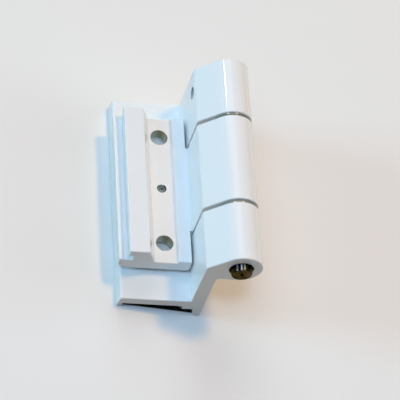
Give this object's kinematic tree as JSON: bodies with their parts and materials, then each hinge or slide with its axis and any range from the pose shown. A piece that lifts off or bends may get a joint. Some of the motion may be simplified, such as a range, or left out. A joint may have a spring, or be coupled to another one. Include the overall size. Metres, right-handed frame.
{
  "type": "window hinge",
  "caption": "Extruded aluminium window hinge, white powder-coated, with knuckles on a steel pin and a hooked rib on the sash leaf.",
  "frame": {"origin": "midway between the frame leaf's two screw holes, on the underside of its plate", "axes": "+Y along the pin, from its proud end to the lock screw's end; +Z square to the window frame, from the frame leaf to the sash leaf; +X from the free edges of the plates to the barrel"},
  "size_m": [0.0634, 0.1155, 0.0571],
  "materials": {
    "white_powder_coat": "fine satin powder coat",
    "pin_steel": "turned, slightly darkened",
    "sleeve_steel": "turned",
    "washer_steel": "rolled, bright",
    "bush_plastic": "moulded, matt",
    "screw_steel": "dark zinc"
  },
  "bodies": {
    "frame_side": {"frame_leaf": "white_powder_coat", "hinge_pin": "pin_steel", "near_pin_sleeve": "sleeve_steel", "far_pin_sleeve": "sleeve_steel", "near_thrust_washer": "washer_steel", "far_thrust_washer": "washer_steel", "pin_lock_screw": "screw_steel"},
    "sash_side": {"sash_leaf": "white_powder_coat", "near_sash_bush": "bush_plastic", "far_sash_bush": "bush_plastic", "sash_grub_screw": "screw_steel"}
  },
  "joints": [
    {"name": "leaf_swing", "type": "hinge", "parent": "frame_side", "child": "sash_side", "pos_m": [0.0305, 0, 0.0385], "axis": [0, 1, 0], "range_deg": [0, 180]}
  ]
}
